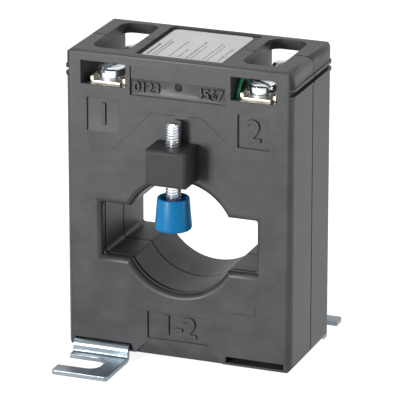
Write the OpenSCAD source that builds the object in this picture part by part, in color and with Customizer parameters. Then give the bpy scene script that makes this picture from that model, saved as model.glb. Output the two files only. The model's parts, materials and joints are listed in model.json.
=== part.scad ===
// Window-type current transformer: two-part moulded housing around a strip-wound ring core,
// two through-going screw terminals, a bar clamp screw and two sheet-metal mounting feet.
//
// X runs along the bar slot, Y from the front face to the rear face, Z upwards.
// The origin is under the middle of the housing, on the surface that the feet stand on.

/* [Housing] */
// Width of the housing
body_w = 60; // [58:0.5:80]
// Depth from the front face to the rear face
body_d = 29.5; // [26:0.5:40]
// Height of the housing without its feet
body_h = 78.4; // [76:0.2:100]
// Wall thickness of the mouldings
wall = 1.8; // [1.5:0.1:2.1]
// Rounding of the upright edges of the front shell
front_edge_r = 1.75; // [0.5:0.05:3]
// Rounding of the upright edges of the rear shell
rear_edge_r = 2.5; // [0.5:0.1:3]
// Rounding of the top edges, front and rear
top_edge_r = 0.9; // [0.3:0.1:1.5]
// Rounding of the upper corners, seen from the front
top_corner_r = 2; // [0.5:0.1:2.5]
// Rounding of the lower corners, seen from the front
low_corner_r = 2; // [0.5:0.1:3]
// Depth of the groove where the two shells meet
seam_depth = 0.3; // [0.1:0.05:0.5]
// Width of the groove where the two shells meet
seam_w = 0.5; // [0.2:0.1:0.8]
// Reach of the rear shell's lip into the front shell
lip_reach = 1.2; // [0.8:0.1:2]
// Height of the groove along each side
side_groove_h = 1.2; // [0.8:0.1:1.6]
// Depth of the groove along each side
side_groove_depth = 1; // [0.6:0.1:1.2]
// How far the beads above and below that groove stand out
side_bead_out = 0.35; // [0.2:0.05:0.5]
// Height of those beads
side_bead_h = 0.7; // [0.5:0.1:1]

/* [Window] */
// Diameter of the round cable opening
cable_dia = 29.5; // [24:0.5:30]
// Width of the bar slot
bar_slot_w = 41.3; // [34:0.1:42]
// Height of the bar slot
bar_slot_h = 13.9; // [8:0.1:15]
// Height of the window's centre above the housing's underside
window_height = 32.05; // [31:0.05:34]
// Rounding of the window's outer edges
window_edge_r = 1.5; // [0.5:0.05:1.6]
// Wall of the tube that lines the window
tube_wall = 1.4; // [1:0.1:1.5]
// Depth of the groove behind the front edge of the window
lip_groove_depth = 0.6; // [0.2:0.1:0.8]

/* [Coil] */
// Radial build-up of the strip-wound core
core_t = 2.1; // [1.5:0.1:4]
// Axial length of the core
core_len = 19.5; // [16:0.5:22]
// Thickness of the insulation on the core
insulation_t = 0.3; // [0.2:0.05:0.5]
// Thickness of the secondary winding
winding_t = 0.7; // [0.5:0.05:1]
// Thickness of the outer tape
tape_t = 0.25; // [0.2:0.05:0.5]

/* [Terminals] */
// Distance of a terminal's axis from the side of the housing
term_edge = 10.15; // [9.8:0.05:11]
// Distance of a screw's axis from the front or rear face
screw_inset = 5.85; // [5.5:0.05:7]
// Width of a conductor window
cond_window_w = 12; // [11.6:0.1:12.4]
// Height of a conductor window
cond_window_h = 6; // [5:0.1:7]
// Thickness of the housing above a conductor window
lintel_t = 2.6; // [2:0.1:3]
// Width of a screwdriver opening in the top
top_opening_w = 10.1; // [9:0.1:11]
// Corner radius of a screwdriver opening
top_opening_r = 3; // [1:0.5:4]
// Depth of housing in front of a screwdriver opening
top_front_margin = 3.8; // [2:0.1:4.5]
// Depth of housing behind a screwdriver opening
top_rear_margin = 2.8; // [2:0.1:4.5]
// Width of the brass terminal bar
term_bar_w = 8; // [7:0.1:8.4]
// Thickness of the brass terminal bar
term_bar_t = 3; // [2:0.1:3.5]
// Thread diameter of the terminal screws
term_screw_dia = 4; // [3.5:0.5:4]
// Head diameter of the terminal screws
term_head_dia = 7.2; // [6.5:0.1:7.4]
// Head height of the terminal screws
term_head_h = 2.5; // [2:0.1:3]
// Length of the terminal screws under the head
term_screw_len = 8; // [6:0.5:8]
// Thickness of a clamping plate
plate_t = 1.2; // [0.7:0.1:1.4]
// Length of a clamping plate along the bar
plate_len = 7.8; // [7:0.1:7.8]
// Height of the upturned ears of a clamping plate
plate_ear_h = 1.2; // [0.5:0.1:1.5]
// Thickness of the lock washer under a screw head
washer_t = 0.6; // [0.5:0.1:1.2]
// Outer diameter of an insulated winding lead
lead_dia = 1.1; // [0.8:0.1:1.1]

/* [Bar clamp] */
// Width of the clamp block
block_w = 10.5; // [9:0.1:14]
// Reach of the clamp block in front of the housing
block_d = 8.8; // [8:0.1:12]
// Height of the clamp block
block_h = 9.3; // [6:0.1:12]
// Distance of the block's underside above the window
block_above_window = 1.4; // [1.4:0.1:3]
// Distance of the clamp screw's axis from the front face
clamp_axis_reach = 3.05; // [3:0.05:5]
// Thread diameter of the clamp screw
clamp_screw_dia = 4; // [3:0.5:4]
// Length of the clamp screw
clamp_screw_len = 25; // [22:0.5:30]
// Height of the plastic cap
cap_h = 8.3; // [6:0.1:10]
// Diameter of the cap at its rim
cap_rim_dia = 8.1; // [7.5:0.1:9]
// Diameter of the cap at its pressing end
cap_end_dia = 9.3; // [8.5:0.1:10.4]
// Free height between the cap's rim and the block
cap_gap = 4.05; // [2.8:0.05:6]

/* [Feet] */
// Width of a mounting foot
foot_w = 15; // [12:0.5:15.4]
// Thickness of the foot's sheet
foot_t = 1.25; // [1:0.05:1.5]
// Height of the housing above the standing surface
foot_drop = 2.1; // [1.6:0.1:3]
// Reach of a foot in front of the housing
foot_reach = 16.1; // [14:0.1:22]
// Depth that a foot's tongue goes into the housing
foot_tongue = 5.4; // [3:0.1:6]
// Middle radius of the foot's bends
foot_bend_r = 1; // [0.8:0.05:1.2]
// Distance of a foot's outer side from the side of the housing
foot_edge = 2.1; // [2:0.1:3]
// Width of the open fixing slot in a foot
foot_slot_w = 7.7; // [4.5:0.1:8]
// Length of the open fixing slot in a foot
foot_slot_len = 10.6; // [8:0.1:11]
// Width of the outer leg in front of the fixing slot
foot_leg_w = 4.2; // [3:0.1:6]

/* [Markings] */
// Side of the terminal mark fields
mark_field = 8.6; // [6:0.1:9]
// Depth of the mark fields
mark_depth = 0.55; // [0.2:0.05:0.6]
// Depth of the label recess in the top
label_depth = 0.5; // [0.3:0.05:0.8]
// Thickness of the label
label_t = 0.15; // [0.1:0.05:0.25]

/* [Hidden] */
$fn = 64;
// Overlap of a cutting body past the face that it opens
over = 1;
// Free play of parts that are pushed together
play = 0.1;
// Radial clearance of a thread in its hole
thread_play = 0.05;
// Gap between the coil and what holds it
coil_seat = 0.2;

front_y = -body_d / 2;
rear_y = body_d / 2;
base_z = foot_drop;
top_z = base_z + body_h;
window_z = base_z + window_height;
cable_r = cable_dia / 2;
slot_corner_r = 1;
lip_t = wall / 2 - play;
side_groove_z = top_z - lintel_t - 2.4 - side_groove_h;

// Coil, from the tube outwards
tube_half_w = bar_slot_w / 2 + tube_wall;
tube_half_h = bar_slot_h / 2 + tube_wall;
tube_corner_r = slot_corner_r + tube_wall;
tube_reach = norm([tube_half_w - tube_corner_r, tube_half_h - tube_corner_r]) + tube_corner_r;
tape_in_r = max(tube_reach, cable_r + tube_wall) + coil_seat;
winding_in_r = tape_in_r + tape_t;
insulation_in_r = winding_in_r + winding_t;
core_in_r = insulation_in_r + insulation_t;
core_out_r = core_in_r + core_t;
coil_out_r = core_out_r + insulation_t + winding_t + tape_t;
coil_len = core_len + 2 * (insulation_t + winding_t + tape_t);

// Terminals, from the top downwards
term_x = body_w / 2 - term_edge;
lintel_z = top_z - lintel_t;
sill_z = lintel_z - cond_window_h;
bar_top_z = sill_z - 0.7;
bar_low_z = bar_top_z - term_bar_t;
washer_z = bar_top_z + plate_t;
head_z = washer_z + washer_t;
screw_tip_z = head_z - term_screw_len;
term_floor_z = min(bar_low_z, screw_tip_z) - wall;
term_inner_x = term_x - cond_window_w / 2 - 1.4;
screw_y = body_d / 2 - screw_inset;
chamber_y = body_d / 2 - wall;
plate_ear_t = 0.8;
plate_w = cond_window_w - 2.6;
plate_nose_w = plate_w - 2 * plate_ear_t - 0.4;
washer_dia = term_head_dia - 0.2;
lead_x = term_x - cond_window_w / 2 + lead_dia / 2 + 0.05;
lead_hole_inset = 3.5;

// Bar clamp, from the block downwards
clamp_y = front_y - clamp_axis_reach;
block_z = window_z + cable_r + block_above_window;
cap_rim_z = block_z - cap_gap;
cap_end_z = cap_rim_z - cap_h;
cap_recess = 2.2;
cap_wall = 1.1;
cap_seat_z = cap_end_z + 2.4;
tenon_w = block_w - 3.4;
tenon_h = block_h - 3;
tenon_reach = 1.1;
nut_w = 7;
nut_t = 2.2;
nut_z = block_z + (block_h - nut_t) / 2;

// Feet
foot_x = body_w / 2 - foot_edge - foot_w / 2;
tongue_low_z = base_z + 1;
foot_mid_r = foot_bend_r;
foot_step = tongue_low_z;
slot_high = foot_t + 0.3;

// Top face
label_field_w = 2 * (term_x - top_opening_w / 2 - 2.7);
label_w = label_field_w - 3;
label_len = body_d - 5.6;

SIDES = [-1, 1];

// ---------------------------------------------------------------- helpers

// What a rounding of radius r takes off a corner; inward points into the outline
module corner_cut(corner, inward, r) {
    translate(corner)
        difference() {
            translate([inward.x > 0 ? -over : -r, inward.y > 0 ? -over : -r])
                square(r + over);
            translate(inward * r)
                circle(r);
        }
}

// Rectangle between two corners; radii start at the lower left and run anticlockwise
module rounded_rect(low, high, radii) {
    difference() {
        translate(low)
            square(high - low);
        corner_cut(low, [1, 1], radii[0]);
        corner_cut([high.x, low.y], [-1, 1], radii[1]);
        corner_cut(high, [-1, -1], radii[2]);
        corner_cut([low.x, high.y], [1, -1], radii[3]);
    }
}

// Box between two corners
module box(low, high) {
    translate(low)
        cube(high - low);
}

// Extrudes an outline drawn in X and Z between two depths
module along_y(from, to) {
    translate([0, to, 0])
        rotate([90, 0, 0])
            linear_extrude(to - from)
                children();
}

// Extrudes an outline drawn in Y and Z between two places across the width
module along_x(from, to) {
    translate([from, 0, 0])
        rotate([90, 0, 90])
            linear_extrude(to - from)
                children();
}

// Repeats its children on the left and on the right
module both_sides() {
    for (side = SIDES)
        scale_x(side)
            children();
}

// Mirrors its children to the left for a side of -1
module scale_x(side) {
    if (side < 0)
        mirror([1, 0, 0])
            children();
    else
        children();
}

// Mirrors its children to the front for an end of -1
module scale_y(end) {
    if (end < 0)
        mirror([0, 1, 0])
            children();
    else
        children();
}

// ---------------------------------------------------------------- window

// Outline of the window, grown by a margin
module window_outline(grow) {
    translate([0, window_z])
        union() {
            circle(cable_r + grow);
            rounded_rect(
                [-bar_slot_w / 2 - grow, -bar_slot_h / 2 - grow],
                [bar_slot_w / 2 + grow, bar_slot_h / 2 + grow],
                [for (corner = [0:3]) slot_corner_r + grow]);
        }
}

// Flared mouth of the round opening, widening towards the face at depth 0
module round_mouth() {
    translate([0, 0, window_z])
        rotate([-90, 0, 0])
            rotate_extrude()
                difference() {
                    square([cable_r + window_edge_r, window_edge_r]);
                    translate([cable_r + window_edge_r, window_edge_r])
                        circle(window_edge_r);
                }
}

// Outline of a slot that widens towards the face at depth 0
module flared_outline(half) {
    difference() {
        translate([-half - window_edge_r, -over])
            square([2 * (half + window_edge_r), window_edge_r + over]);
        for (side = SIDES)
            translate([side * (half + window_edge_r), window_edge_r])
                circle(window_edge_r);
    }
}

// Flared mouth of the bar slot
module slot_mouth() {
    intersection() {
        translate([0, 0, window_z - bar_slot_h / 2 - window_edge_r])
            linear_extrude(bar_slot_h + 2 * window_edge_r)
                flared_outline(bar_slot_w / 2);
        translate([-bar_slot_w / 2 - window_edge_r, 0, window_z])
            rotate([0, 90, 0])
                linear_extrude(bar_slot_w + 2 * window_edge_r)
                    flared_outline(bar_slot_h / 2);
    }
}

// Everything that the window takes out of the housing
module window_cut() {
    along_y(front_y - over, rear_y + over)
        window_outline(0);
    for (end = SIDES)
        scale_y(-end)
            translate([0, front_y, 0]) {
                round_mouth();
                slot_mouth();
            }
    along_y(-seam_w / 2, seam_w / 2)
        window_outline(seam_depth);
}

// ---------------------------------------------------------------- housing

// Outline of the housing, seen from above
module footprint() {
    rounded_rect([-body_w / 2, front_y], [body_w / 2, rear_y],
        [front_edge_r, front_edge_r, rear_edge_r, rear_edge_r]);
}

// Outer form of the closed housing, without the beads on its sides
module housing_block() {
    intersection() {
        translate([0, 0, base_z])
            linear_extrude(body_h)
                footprint();
        along_y(front_y, rear_y)
            rounded_rect([-body_w / 2, base_z], [body_w / 2, top_z],
                [low_corner_r, low_corner_r, top_corner_r, top_corner_r]);
        along_x(-body_w / 2, body_w / 2)
            rounded_rect([front_y, base_z], [rear_y, top_z],
                [top_edge_r, top_edge_r, top_edge_r, top_edge_r]);
    }
}

// Solid ground around one terminal, on the right
module terminal_ground() {
    box([term_inner_x, front_y, term_floor_z], [body_w / 2, rear_y, top_z]);
}

// Solid ground around the tongue of a foot, on the right at the front
module tongue_ground() {
    box([foot_x - foot_w / 2 - wall, front_y, base_z],
        [body_w / 2, front_y + foot_tongue + 2 * wall, tongue_low_z + foot_t + wall]);
}

// Ribs that hold the coil, on the right
module coil_ribs() {
    rib_t = 1.5;
    difference() {
        union() {
            box([14, front_y, base_z], [14 + rib_t, rear_y, window_z]);
            box([term_x + 0.65, front_y, window_z],
                [term_x + 0.65 + rib_t, rear_y, term_floor_z + over]);
            box([tube_half_w, front_y, window_z - rib_t / 2],
                [body_w / 2, rear_y, window_z + rib_t / 2]);
        }
        along_y(-coil_len / 2 - coil_seat, coil_len / 2 + coil_seat)
            translate([0, window_z])
                difference() {
                    circle(coil_out_r + coil_seat);
                    circle(tape_in_r - coil_seat);
                }
    }
}

// Hollow of the closed housing, without what stands in it
module cavity() {
    difference() {
        along_y(front_y + wall, rear_y - wall)
            rounded_rect([-body_w / 2 + wall, base_z + wall],
                [body_w / 2 - wall, top_z - wall - label_depth], [1, 1, 1, 1]);
        along_y(front_y, rear_y)
            window_outline(tube_wall);
        both_sides() {
            terminal_ground();
            coil_ribs();
            for (end = SIDES)
                scale_y(-end)
                    tongue_ground();
        }
    }
}

// Chamber, bar seat and openings of one terminal, on the right
module terminal_cut() {
    half = cond_window_w / 2;
    translate([term_x, 0, 0]) {
        box([-half, front_y - over, sill_z], [half, rear_y + over, lintel_z]);
        box([-half, -chamber_y, bar_top_z], [half, chamber_y, lintel_z]);
        box([-term_bar_w / 2 - play, -chamber_y, bar_low_z],
            [term_bar_w / 2 + play, chamber_y, lintel_z]);
        for (end = SIDES)
            translate([0, end * screw_y, screw_tip_z - play - 0.4])
                cylinder(d = term_screw_dia + 0.8, h = bar_top_z - screw_tip_z);
        translate([0, 0, lintel_z - over])
            linear_extrude(lintel_t + 2 * over)
                rounded_rect([-top_opening_w / 2, front_y + top_front_margin],
                    [top_opening_w / 2, rear_y - top_rear_margin],
                    [for (corner = [0:3]) top_opening_r]);
    }
}

// Hole for a winding lead beside a terminal, on the right at the front
module lead_hole() {
    translate([lead_x, front_y + lead_hole_inset, term_floor_z - over])
        cylinder(d = lead_dia + 0.5, h = bar_top_z - term_floor_z + 2 * over);
}

// Slot for a foot's tongue, on the right at the front
module tongue_slot() {
    box([foot_x - foot_w / 2 - 0.2, front_y - over, tongue_low_z - play],
        [foot_x + foot_w / 2 + 0.2, front_y + foot_tongue + play, tongue_low_z - play + slot_high]);
}

// Groove along each side below the top, on the right
module side_groove() {
    box([body_w / 2 - side_groove_depth, front_y - over, side_groove_z],
        [body_w / 2 + over, rear_y + over, side_groove_z + side_groove_h]);
}

// Beads above and below that groove, flush with front and rear, on the right
module side_beads() {
    for (bead_z = [side_groove_z - side_bead_h, side_groove_z + side_groove_h])
        translate([0, 0, bead_z])
            linear_extrude(side_bead_h)
                intersection() {
                    offset(delta = side_bead_out)
                        footprint();
                    translate([body_w / 2 - 1, front_y])
                        square([2, body_d]);
                }
}

// Belt that the seam takes off the outside
module seam_cut() {
    along_y(-seam_w / 2, seam_w / 2)
        difference() {
            translate([-body_w / 2 - 2 * over, base_z - over])
                square([body_w + 4 * over, body_h + 2 * over]);
            rounded_rect([-body_w / 2 + seam_depth, base_z + seam_depth],
                [body_w / 2 - seam_depth, top_z - seam_depth],
                [low_corner_r, low_corner_r, top_corner_r, top_corner_r]);
        }
}

// Cuts that both shells share
module shared_cuts() {
    cavity();
    window_cut();
    seam_cut();
    both_sides() {
        terminal_cut();
        side_groove();
        for (end = SIDES)
            scale_y(-end)
                tongue_slot();
    }
    lead_hole();
    rotate(180)
        lead_hole();
    label_field();
}

// Band inside the wall where the rear shell's lip lies, up to the terminals
module lip_band(thickness, reach) {
    along_y(-reach, 0)
        intersection() {
            difference() {
                rounded_rect([-body_w / 2 + wall - thickness, base_z + wall - thickness],
                    [body_w / 2 - wall + thickness, top_z], [1 + thickness, 1 + thickness, 1, 1]);
                rounded_rect([-body_w / 2 + wall, base_z + wall],
                    [body_w / 2 - wall, top_z + over], [1, 1, 1, 1]);
            }
            translate([-body_w / 2, base_z])
                square([body_w, term_floor_z - 2 * play - base_z - (thickness > lip_t ? 0 : play)]);
        }
}

// Shallow fields on the front face
module front_fields() {
    both_sides()
        box([term_x + 0.15 - mark_field / 2, front_y - over, sill_z - 3.4 - mark_field],
            [term_x + 0.15 + mark_field / 2, front_y + mark_depth, sill_z - 3.4]);
    box([-8.3, front_y - over, base_z + 4.7], [8.3, front_y + mark_depth, base_z + 11.9]);
    box([-term_inner_x, front_y - over, sill_z - 1.6],
        [term_inner_x, front_y + mark_depth, sill_z + 2.7]);
    box([-term_inner_x - 0.3, front_y - over, sill_z - 1.6],
        [-term_inner_x, front_y + mark_depth + 0.3, lintel_z]);
    translate([0, front_y + mark_depth - over, sill_z + 1.4])
        rotate([-90, 0, 0])
            cylinder(d = 2, h = over + 0.3);
}

// Sloping relief below the lower field, wider at its foot
module lower_relief() {
    relief_h = 3.8;
    top_w = 16.8;
    foot_half_w = 12;
    intersection() {
        along_x(-foot_half_w, foot_half_w)
            polygon([[front_y - over, base_z - over], [front_y + 1.1, base_z - over],
                [front_y + 1.1, base_z], [front_y, base_z + relief_h],
                [front_y - over, base_z + relief_h]]);
        along_y(front_y - over, front_y + 2)
            polygon([[-foot_half_w, base_z - over], [foot_half_w, base_z - over],
                [foot_half_w, base_z], [top_w / 2, base_z + relief_h],
                [-top_w / 2, base_z + relief_h], [-foot_half_w, base_z]]);
    }
}

// Recess for the label, with a deeper run along its left side
module label_field() {
    translate([0, 0, top_z - label_depth])
        linear_extrude(label_depth + over)
            rounded_rect([-label_field_w / 2, front_y + 2], [label_field_w / 2, rear_y - 1.5],
                [0.5, 0.5, 1.5, 1.5]);
    box([-label_field_w / 2, front_y + 2.5, top_z - label_depth - 0.4],
        [-label_field_w / 2 + 0.7, rear_y - 3, top_z]);
}

// Both shells together, before anything is cut
module closed_housing() {
    housing_block();
    both_sides()
        side_beads();
}

module front_shell() {
    color("dimgray")
        difference() {
            intersection() {
                closed_housing();
                box([-body_w, front_y - over, 0], [body_w, 0, top_z + over]);
            }
            shared_cuts();
            lip_band(lip_t + play, lip_reach + play);
            front_fields();
            lower_relief();
            along_y(front_y + window_edge_r + 0.7, front_y + window_edge_r + 1.5)
                window_outline(lip_groove_depth);
            along_y(front_y - over, front_y + tenon_reach + play)
                rounded_rect([-tenon_w / 2 - play, block_z + (block_h - tenon_h) / 2 - play],
                    [tenon_w / 2 + play, block_z + (block_h + tenon_h) / 2 + play],
                    [0.8, 0.8, 0.8, 0.8]);
        }
}

module rear_shell() {
    color("dimgray") {
        difference() {
            intersection() {
                closed_housing();
                box([-body_w, 0, 0], [body_w, rear_y + over, top_z + over]);
            }
            shared_cuts();
        }
        lip_band(lip_t, lip_reach);
    }
}

module rating_label() {
    color("whitesmoke")
        translate([-0.2, 0, top_z - label_depth])
            linear_extrude(label_t)
                rounded_rect([-label_w / 2, front_y + 2.6], [label_w / 2, front_y + 2.6 + label_len],
                    [0.4, 0.4, 1.5, 1.5]);
}

// ---------------------------------------------------------------- bar clamp

module clamp_block() {
    block_r = 0.8;
    color("#2c2c2e")
        difference() {
            union() {
                intersection() {
                    translate([0, 0, block_z])
                        linear_extrude(block_h)
                            rounded_rect([-block_w / 2, front_y - block_d], [block_w / 2, front_y],
                                [block_r, block_r, 0.3, 0.3]);
                    along_x(-block_w / 2, block_w / 2)
                        rounded_rect([front_y - block_d, block_z], [front_y, block_z + block_h],
                            [block_r, 0.3, 0.3, block_r]);
                }
                along_y(front_y - over, front_y + tenon_reach)
                    rounded_rect([-tenon_w / 2, block_z + (block_h - tenon_h) / 2],
                        [tenon_w / 2, block_z + (block_h + tenon_h) / 2], [0.8, 0.8, 0.8, 0.8]);
            }
            translate([0, clamp_y, block_z - over])
                cylinder(d = clamp_screw_dia + 0.4, h = block_h + 2 * over);
            box([-nut_w / 2 - play, clamp_y - nut_w / 2 - play, nut_z - play],
                [nut_w / 2 + play, front_y + tenon_reach + over, nut_z + nut_t + play]);
        }
}

module clamp_nut() {
    color("silver")
        difference() {
            box([-nut_w / 2, clamp_y - nut_w / 2, nut_z], [nut_w / 2, clamp_y + nut_w / 2, nut_z + nut_t]);
            translate([0, clamp_y, nut_z - over])
                cylinder(d = clamp_screw_dia + 2 * thread_play, h = nut_t + 2 * over);
        }
}

module clamp_screw() {
    point = 0.4;
    color("silver")
        translate([0, clamp_y, cap_seat_z + play])
            rotate_extrude()
                polygon([[0, 0], [clamp_screw_dia / 2 - point, 0], [clamp_screw_dia / 2, point],
                    [clamp_screw_dia / 2, clamp_screw_len - point],
                    [clamp_screw_dia / 2 - point, clamp_screw_len], [0, clamp_screw_len]]);
}

// Tapered cap with an open recess around the screw
module clamp_cap() {
    rim_r = cap_rim_dia / 2;
    end_r = cap_end_dia / 2;
    edge = 0.4;
    bore_r = clamp_screw_dia / 2 + thread_play;
    seat = cap_seat_z - cap_end_z;
    color("#1c7fc4")
        translate([0, clamp_y, cap_end_z])
            rotate_extrude()
                polygon([[0, 0], [end_r - 0.8, 0], [end_r, 0.8], [rim_r, cap_h - edge],
                    [rim_r - edge, cap_h], [rim_r - cap_wall + 0.1, cap_h],
                    [rim_r - cap_wall, cap_h - 0.3], [rim_r - cap_wall - 0.2, cap_h - cap_recess],
                    [bore_r, cap_h - cap_recess], [bore_r, seat], [0, seat]]);
}

// ---------------------------------------------------------------- terminals

// Moves its children to one of the four screws
module at_screw(side, end) {
    translate([side * term_x, end * screw_y, 0])
        scale_y(end)
            children();
}

module terminal_bar(side) {
    color("goldenrod")
        translate([side * term_x, 0, 0])
            difference() {
                box([-term_bar_w / 2, -chamber_y + play, bar_low_z],
                    [term_bar_w / 2, chamber_y - play, bar_top_z]);
                for (end = SIDES)
                    translate([0, end * screw_y, bar_low_z - over])
                        cylinder(d = term_screw_dia + 2 * thread_play, h = term_bar_t + 2 * over);
            }
}

// Clamping plate with two upturned ears and a narrower nose towards the outside
module clamp_plate(side, end) {
    ear_len = plate_len - 1.2;
    half_w = plate_w / 2;
    color("wheat")
        at_screw(side, end)
            difference() {
                union() {
                    box([-half_w, -plate_len / 2, bar_top_z],
                        [half_w, -plate_len / 2 + ear_len, bar_top_z + plate_t]);
                    box([-plate_nose_w / 2, -plate_len / 2, bar_top_z],
                        [plate_nose_w / 2, plate_len / 2, bar_top_z + plate_t]);
                    for (ear = SIDES)
                        scale_x(ear)
                            box([half_w - plate_ear_t, -plate_len / 2, bar_top_z],
                                [half_w, -plate_len / 2 + ear_len, bar_top_z + plate_t + plate_ear_h]);
                }
                translate([0, 0, bar_top_z - over])
                    cylinder(d = term_screw_dia + 0.5, h = plate_t + 2 * over);
            }
}

// Split lock washer
module lock_washer(side, end) {
    split_w = 0.7;
    color("lightslategray")
        at_screw(side, end)
            translate([0, 0, washer_z])
                difference() {
                    cylinder(d = washer_dia, h = washer_t);
                    translate([0, 0, -over])
                        cylinder(d = term_screw_dia + 0.4, h = washer_t + 2 * over);
                    translate([0, 0, -over])
                        rotate(200)
                            translate([0, -split_w / 2, 0])
                                cube([washer_dia, split_w, washer_t + 2 * over]);
                }
}

// Cheese-head screw; turn is the angle of its driving slot
module terminal_screw(side, end, turn) {
    head_r = term_head_dia / 2;
    edge = 0.5;
    shank_r = term_screw_dia / 2;
    drive_w = 1.1;
    drive_depth = 1.1;
    color("gainsboro")
        at_screw(side, end)
            difference() {
                rotate_extrude()
                    polygon([[0, screw_tip_z], [shank_r - edge, screw_tip_z],
                        [shank_r, screw_tip_z + edge], [shank_r, head_z], [head_r - 0.15, head_z],
                        [head_r, head_z + 0.15], [head_r, head_z + term_head_h - edge],
                        [head_r - edge, head_z + term_head_h - 0.1],
                        [head_r - 1.4, head_z + term_head_h], [0, head_z + term_head_h]]);
                translate([0, 0, head_z + term_head_h - drive_depth])
                    rotate(turn)
                        translate([-term_head_dia, -drive_w / 2, 0])
                            cube([2 * term_head_dia, drive_w, drive_depth + over]);
            }
}

// ---------------------------------------------------------------- coil

// Ring around the window's axis, hollow where another ring lies in it
module ring(in_r, out_r, length, skin) {
    translate([0, 0, window_z])
        rotate([90, 0, 0])
            rotate_extrude()
                difference() {
                    translate([in_r, -length / 2])
                        square([out_r - in_r, length]);
                    if (skin > 0)
                        translate([in_r + skin, -length / 2 + skin])
                            square([out_r - in_r - 2 * skin, length - 2 * skin]);
                }
}

module ring_core() {
    color("slategray")
        ring(core_in_r, core_out_r, core_len, 0);
}

module core_insulation() {
    color("ivory")
        ring(insulation_in_r, core_out_r + insulation_t, core_len + 2 * insulation_t, insulation_t);
}

module secondary_winding() {
    color("peru")
        ring(winding_in_r, coil_out_r - tape_t, coil_len - 2 * tape_t, winding_t);
}

module winding_tape() {
    color("khaki")
        ring(tape_in_r, coil_out_r, coil_len, tape_t);
}

// ---------------------------------------------------------------- winding leads

// Direction of a route at point i
function heading(route, i) =
    let (ahead = route[min(i + 1, len(route) - 1)], behind = route[max(i - 1, 0)])
    (ahead - behind) / norm(ahead - behind);

// Ring of points around route point i
function lead_ring(route, i, r, sides) =
    let (along = heading(route, i), across = cross(along, [1, 0, 0]) / norm(cross(along, [1, 0, 0])),
        up = cross(along, across))
    [for (k = [0:sides - 1])
        let (angle = 360 * k / sides)
        route[i] + r * cos(angle) * across + r * sin(angle) * up];

// Round lead of radius r along a route
module lead_tube(route, r) {
    sides = 8;
    last = len(route) - 1;
    points = [for (i = [0:last]) each lead_ring(route, i, r, sides)];
    walls = [for (i = [0:last - 1], k = [0:sides - 1])
        let (next = (k + 1) % sides)
        [i * sides + k, i * sides + next, (i + 1) * sides + next, (i + 1) * sides + k]];
    caps = [[for (k = [sides - 1:-1:0]) k], [for (k = [0:sides - 1]) last * sides + k]];
    polyhedron(points, concat(walls, caps));
}

// Lead from the coil through the terminal floor and over onto the bar, right terminal
module winding_lead() {
    coil_z = window_z + sqrt(pow(coil_out_r, 2) - pow(lead_x, 2));
    floor_z = term_floor_z;
    bar_z = bar_top_z + lead_dia / 2;
    inset = lead_hole_inset;
    route = [
        [lead_x, front_y + 8.5, coil_z + lead_dia / 2 + 0.3],
        [lead_x, front_y + 5.5, coil_z + lead_dia / 2 + 0.8],
        [lead_x, front_y + inset + 0.3, coil_z + 0.6 * (floor_z - coil_z)],
        [lead_x, front_y + inset, floor_z + 0.4],
        [lead_x, front_y + inset, bar_top_z],
        [lead_x, front_y + inset + 0.3, bar_z + 1.6],
        [lead_x, front_y + inset + 1.4, bar_z + 3.1],
        [lead_x, front_y + inset + 3.3, bar_z + 3.9],
        [lead_x, front_y + inset + 5.3, bar_z + 3.5],
        [lead_x, front_y + inset + 6.9, bar_z + 2.1],
        [lead_x + 0.3, front_y + inset + 8, bar_z + 0.9],
        [lead_x + 1.4, front_y + inset + 9, bar_z + 0.25],
        [lead_x + 3, front_y + inset + 9.6, bar_z + 0.05]
    ];
    lead_tube(route, lead_dia / 2);
}

module lead_right() {
    color("mediumseagreen")
        winding_lead();
}

module lead_left() {
    color("mediumseagreen")
        rotate(180)
            winding_lead();
}

// ---------------------------------------------------------------- feet

// Quarter of a bent sheet; from is the angle where it starts
module bend(centre, from) {
    translate(centre)
        intersection() {
            difference() {
                circle(foot_bend_r + foot_t / 2);
                circle(foot_bend_r - foot_t / 2);
            }
            rotate(from)
                square(2 * foot_bend_r + foot_t);
        }
}

// Side view of a foot: tongue, drop and plate
module foot_profile() {
    tongue_mid = tongue_low_z + foot_t / 2;
    plate_mid = foot_t / 2;
    drop_y = front_y - foot_bend_r - 0.3;
    upper = [front_y - 0.3, tongue_mid - foot_bend_r];
    lower = [drop_y - foot_bend_r, plate_mid + foot_bend_r];
    translate([upper.x, tongue_low_z])
        square([foot_tongue + 0.3, foot_t]);
    bend(upper, 90);
    translate([drop_y - foot_t / 2, lower.y])
        square([foot_t, upper.y - lower.y]);
    bend(lower, 270);
    translate([front_y - foot_reach, 0])
        square([lower.x - front_y + foot_reach, foot_t]);
}

// Foot at the right of the front face
module foot() {
    slot_y = front_y - foot_reach + foot_leg_w;
    slot_r = 2.9;
    outer_x = foot_x + foot_w / 2;
    color("lightsteelblue")
        difference() {
            intersection() {
                along_x(foot_x - foot_w / 2, outer_x)
                    foot_profile();
                linear_extrude(tongue_low_z + 2 * foot_t)
                    rounded_rect([foot_x - foot_w / 2, front_y - foot_reach],
                        [outer_x, front_y + foot_tongue], [0.8, 0.8, 0.3, 0.3]);
            }
            translate([0, 0, -over])
                linear_extrude(foot_t + 1.05 * over)
                    rounded_rect([outer_x - foot_slot_len, slot_y], [outer_x + over, slot_y + foot_slot_w],
                        [slot_r, 0.01, 0.01, slot_r]);
        }
}

module mounting_foot_front() {
    mirror([1, 0, 0])
        foot();
}

module mounting_foot_rear() {
    mirror([0, 1, 0])
        foot();
}

// ---------------------------------------------------------------- parts

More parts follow.
